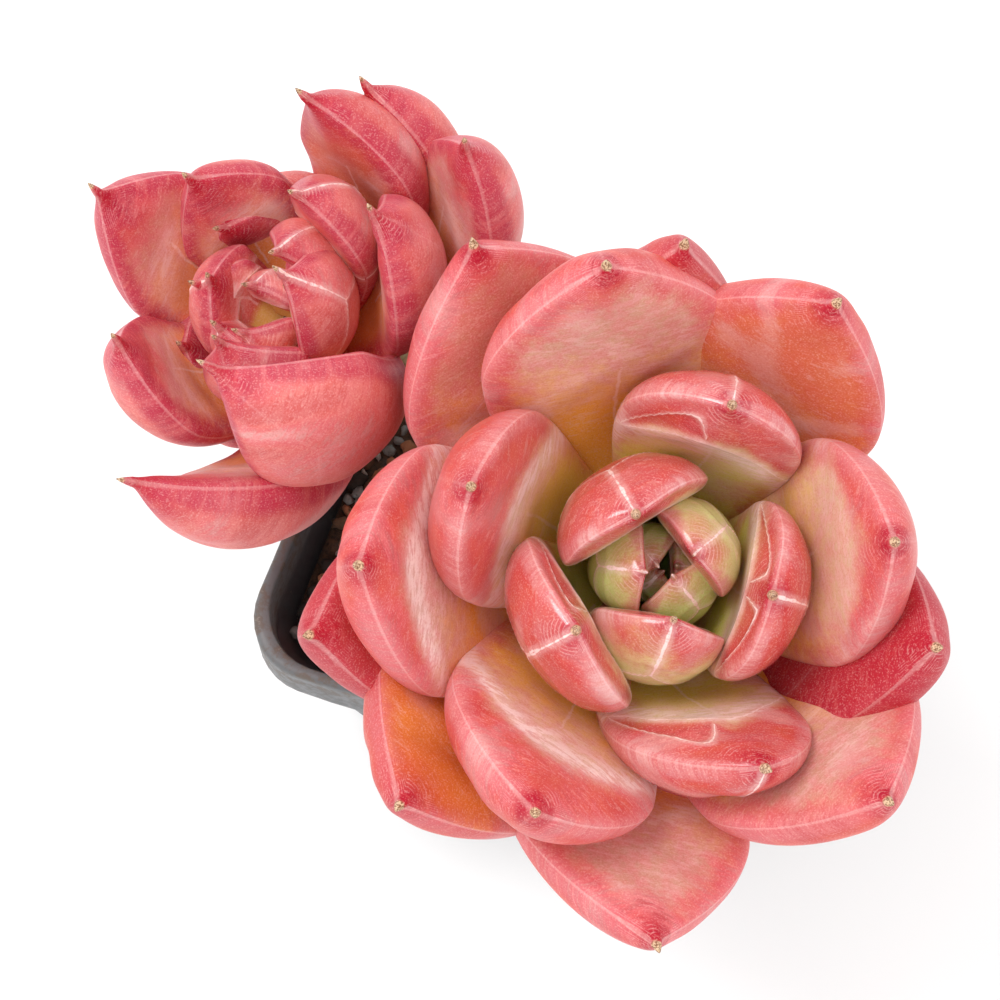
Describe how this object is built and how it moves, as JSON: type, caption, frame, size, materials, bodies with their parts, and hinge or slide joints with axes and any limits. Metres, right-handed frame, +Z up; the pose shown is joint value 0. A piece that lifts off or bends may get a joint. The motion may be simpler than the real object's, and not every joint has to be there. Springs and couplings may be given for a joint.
{
  "type": "potted ratam echeveria",
  "caption": "Two-headed echeveria with thick pointed coral-pink leaves in spiral rosettes on a forked stem, in a square tapered nursery pot of potting mix.",
  "frame": {"origin": "centre of the pot's flat underside", "axes": "+Z up, square to the surface the pot stands on; -Y is the side seen in the picture's lower edge, +X its right"},
  "size_m": [0.0912, 0.0971, 0.1174],
  "materials": {
    "pot_plastic": "soft grey nursery plastic, satin, lightly soiled",
    "potting_mix": "dark gritty mix with pale pumice grains",
    "stem_bark": "dry corky succulent stem",
    "main_leaves": "fleshy waxy leaf, coral red over green-yellow, translucent",
    "side_leaves": "fleshy waxy leaf, crimson pink, translucent"
  },
  "bodies": {
    "root": {"pot": "pot_plastic", "potting_mix": "potting_mix", "stem": "stem_bark", "main_rosette": "main_leaves", "side_rosette": "side_leaves"}
  },
  "joints": []
}
